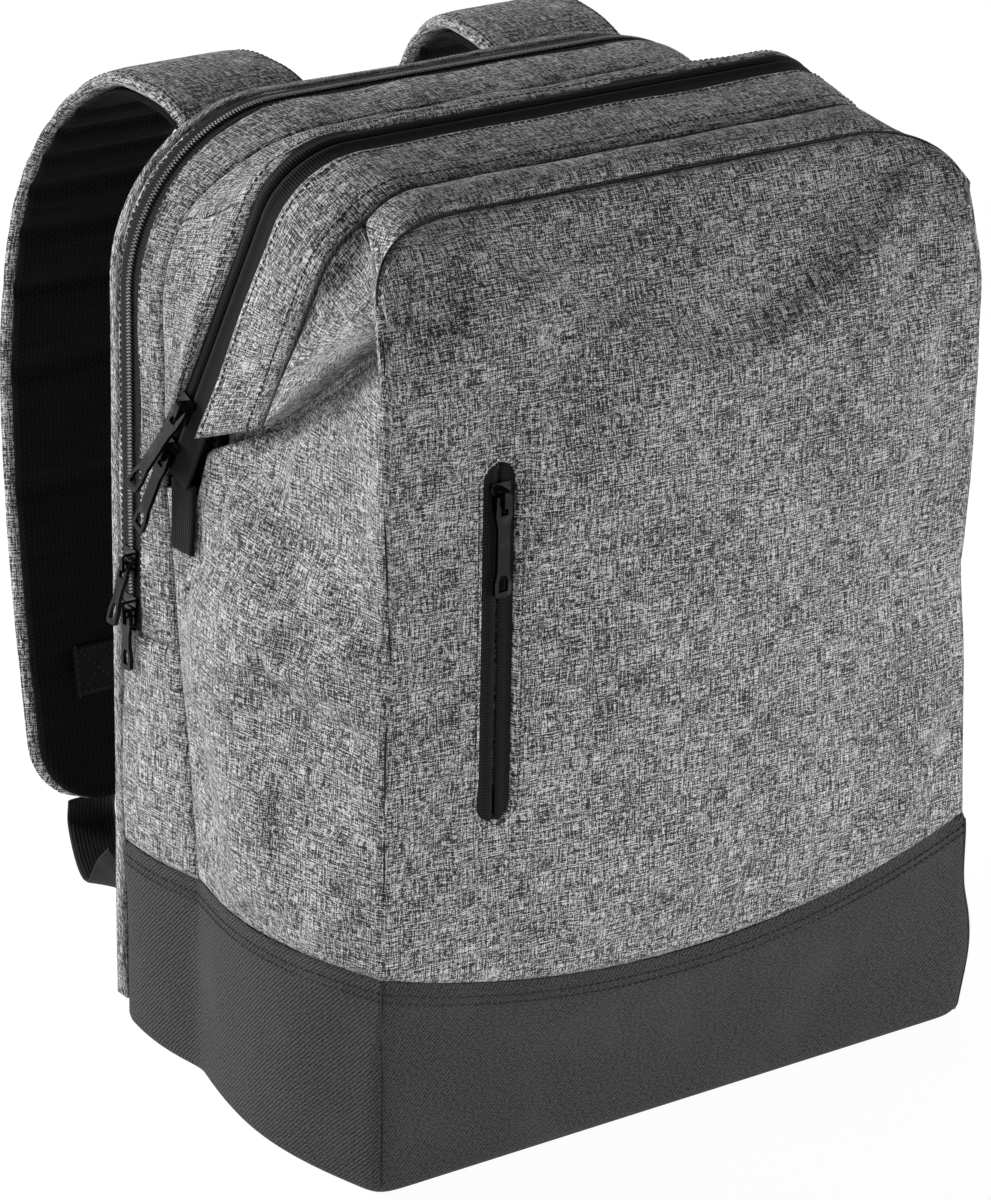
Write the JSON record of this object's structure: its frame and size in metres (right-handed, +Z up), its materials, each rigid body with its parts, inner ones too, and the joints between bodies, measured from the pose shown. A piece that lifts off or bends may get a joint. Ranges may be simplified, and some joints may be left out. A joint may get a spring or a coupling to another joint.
{
  "type": "racket backpack",
  "caption": "Soft racket backpack with a zipped folding mouth, zipped rear compartment, upright front pocket, dark base and padded shoulder straps.",
  "frame": {"origin": "centre of the flat underside of the base", "axes": "+Z up, front of the bag towards -Y, +X to the viewer's right"},
  "size_m": [0.3351, 0.3324, 0.417],
  "materials": {
    "grey_melange": "grey melange woven polyester",
    "charcoal_twill": "charcoal twill weave",
    "black_zip_tape": "woven zip tape",
    "black_lining": "foam backed knitted lining",
    "black_webbing": "ribbed webbing",
    "black_zinc": "black coated zinc",
    "black_acetal": "moulded plastic",
    "base_board": "stiff board"
  },
  "bodies": {
    "bag": {"front_panel": "grey_melange", "rear_lip_band": "grey_melange", "rear_gusset_front": "grey_melange", "rear_gusset_back": "grey_melange", "left_side_panel": "grey_melange", "left_rear_side": "grey_melange", "left_lip_leg": "grey_melange", "left_gusset_fold": "grey_melange", "left_strap_cover": "grey_melange", "left_wing_tab": "grey_melange", "right_side_panel": "grey_melange", "right_rear_side": "grey_melange", "right_lip_leg": "grey_melange", "right_gusset_fold": "grey_melange", "right_strap_cover": "grey_melange", "right_wing_tab": "grey_melange", "base_tray": "charcoal_twill", "mouth_zip_tape_rear": "black_zip_tape", "rear_zip_tape_front": "black_zip_tape", "rear_zip_tape_back": "black_zip_tape", "pocket_zip_tape_left": "black_zip_tape", "pocket_zip_tape_right": "black_zip_tape", "left_zip_leg": "black_zip_tape", "left_zip_end_tab": "black_zip_tape", "right_zip_leg": "black_zip_tape", "right_zip_end_tab": "black_zip_tape", "back_panel": "black_lining", "left_back_pad": "black_lining", "right_back_pad": "black_lining", "lower_back_pad": "black_lining", "divider": "black_lining", "pocket_lining": "black_lining", "left_strap_lining": "black_lining", "right_strap_lining": "black_lining", "grab_loop": "black_webbing", "left_webbing": "black_webbing", "left_adjuster_loop": "black_webbing", "right_webbing": "black_webbing", "right_adjuster_loop": "black_webbing", "mouth_lower_slider": "black_zinc", "rear_lower_slider": "black_zinc", "base_board": "base_board", "left_adjuster": "black_acetal", "right_adjuster": "black_acetal"},
    "front_flap": {"front_panel_top": "grey_melange", "front_top_strip": "grey_melange", "front_lip_band": "grey_melange", "mouth_zip_tape_front": "black_zip_tape"},
    "pocket_slider": {"pocket_slider": "black_zinc"},
    "mouth_upper_slider": {"mouth_upper_slider": "black_zinc"},
    "rear_upper_slider": {"rear_upper_slider": "black_zinc"},
    "pocket_pull": {"pocket_pull": "black_zinc"},
    "mouth_lower_pull": {"mouth_lower_pull": "black_zinc"},
    "mouth_upper_pull": {"mouth_upper_pull": "black_zinc"},
    "rear_lower_pull": {"rear_lower_pull": "black_zinc"},
    "rear_upper_pull": {"rear_upper_pull": "black_zinc"}
  },
  "joints": [
    {"name": "flap_open", "type": "hinge", "parent": "bag", "child": "front_flap", "pos_m": [0, -0.0925, 0.3675], "axis": [1, 0, 0], "range_deg": [0, 75], "deforming": ["left_gusset_fold", "right_gusset_fold", "left_lip_leg", "right_lip_leg", "left_zip_leg", "right_zip_leg"]},
    {"name": "pocket_slide", "type": "slide", "parent": "bag", "child": "pocket_slider", "axis": [0, 0, 1], "range_m": [-0.124, 0]},
    {"name": "mouth_slide", "type": "slide", "parent": "bag", "child": "mouth_upper_slider", "axis": [0.0967, -0.3868, 0.9171], "range_m": [0, 0.085]},
    {"name": "rear_slide", "type": "slide", "parent": "bag", "child": "rear_upper_slider", "axis": [0, 0, 1], "range_m": [0, 0.105]},
    {"name": "pocket_pull_swing", "type": "hinge", "parent": "pocket_slider", "child": "pocket_pull", "pos_m": [-0.1, -0.10257, 0.294], "axis": [-1, 0, 0], "range_deg": [0, 165]},
    {"name": "mouth_lower_pull_swing", "type": "hinge", "parent": "bag", "child": "mouth_lower_pull", "pos_m": [-0.15731, 0.05238, 0.27658], "axis": [0, 0.9214, 0.3886], "range_deg": [0, 20]},
    {"name": "mouth_upper_pull_swing", "type": "hinge", "parent": "mouth_upper_slider", "child": "mouth_upper_pull", "pos_m": [-0.15518, 0.04387, 0.29676], "axis": [0, 0.9214, 0.3886], "range_deg": [0, 145]},
    {"name": "rear_lower_pull_swing", "type": "hinge", "parent": "bag", "child": "rear_lower_pull", "pos_m": [-0.15675, 0.085, 0.197], "axis": [0, 1, 0], "range_deg": [0, 35]},
    {"name": "rear_upper_pull_swing", "type": "hinge", "parent": "rear_upper_slider", "child": "rear_upper_pull", "pos_m": [-0.15675, 0.085, 0.218], "axis": [0, 1, 0], "range_deg": [0, 145]}
  ]
}
